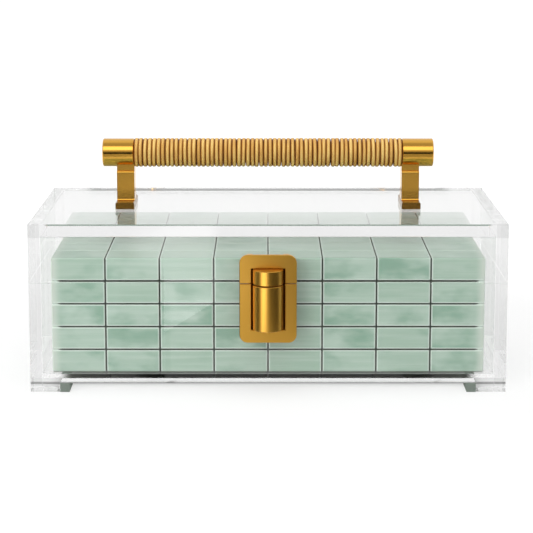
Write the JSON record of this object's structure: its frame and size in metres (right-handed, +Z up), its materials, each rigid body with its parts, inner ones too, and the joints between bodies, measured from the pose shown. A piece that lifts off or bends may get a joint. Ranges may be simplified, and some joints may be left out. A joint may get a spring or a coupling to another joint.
{
  "type": "mahjong case",
  "caption": "Clear acrylic case with a hinged lid, a brass barrel latch, a cane-wrapped bar handle, corner feet and a full block of stacked mahjong tiles.",
  "frame": {"origin": "under the middle of the case, on the surface that its feet stand on", "axes": "+X along the case to the right as seen from the latch, +Y from the latch to the hinges, +Z up"},
  "size_m": [0.2636, 0.1499, 0.1337],
  "materials": {
    "acrylic": "clear cast sheet with polished edges",
    "pad": "matt grey-green anti-slip pad",
    "tile": "polished jade-green resin, cloudy and slightly translucent",
    "brass": "satin brushed, clear lacquered",
    "pin": "plain drawn wire",
    "cane": "varnished rattan cane",
    "core": "plain turned hardwood"
  },
  "bodies": {
    "base": {"base_panel": "acrylic", "front_wall": "acrylic", "back_wall": "acrylic", "left_wall": "acrylic", "right_wall": "acrylic", "foot_front_left": "acrylic", "foot_front_right": "acrylic", "foot_back_left": "acrylic", "foot_back_right": "acrylic", "anti_slip_pads": "pad", "tile_layer_1": "tile", "tile_layer_2": "tile", "tile_layer_3": "tile", "tile_layer_4": "tile", "tile_layer_5": "tile", "latch_lower_plate": "brass", "latch_lower_housing": "brass", "latch_post": "brass", "latch_washer": "brass", "latch_post_screw": "brass", "latch_lower_nuts": "brass", "hinge_left_tray_leaf": "brass", "hinge_right_tray_leaf": "brass", "hinge_left_pin": "pin", "hinge_right_pin": "pin", "hinge_tray_screws": "brass"},
    "barrel": {"latch_barrel": "brass", "latch_cam_plate": "brass"},
    "lid": {"lid_panel": "acrylic", "lid_front": "acrylic", "lid_back": "acrylic", "lid_left": "acrylic", "lid_right": "acrylic", "latch_upper_plate": "brass", "latch_upper_housing": "brass", "latch_upper_nuts": "brass", "latch_stub": "brass", "latch_stub_screw": "brass", "latch_hook": "brass", "hinge_left_lid_leaf": "brass", "hinge_right_lid_leaf": "brass", "hinge_lid_screws": "brass", "handle_foot_left": "brass", "handle_foot_right": "brass", "handle_leg_left": "brass", "handle_leg_right": "brass", "handle_cap_left": "brass", "handle_cap_right": "brass", "handle_bar_bolts": "brass", "rattan_wrap": "cane", "handle_core": "core"}
  },
  "joints": [
    {"name": "lid_hinge", "type": "hinge", "parent": "base", "child": "lid", "pos_m": [0, 0.0675, 0.06153], "axis": [-1, 0, 0], "range_deg": [0, 95]},
    {"name": "barrel_turn", "type": "hinge", "parent": "base", "child": "barrel", "pos_m": [0, -0.0665, 0.0488], "axis": [0, 0, 1], "range_deg": [0, 90]}
  ]
}
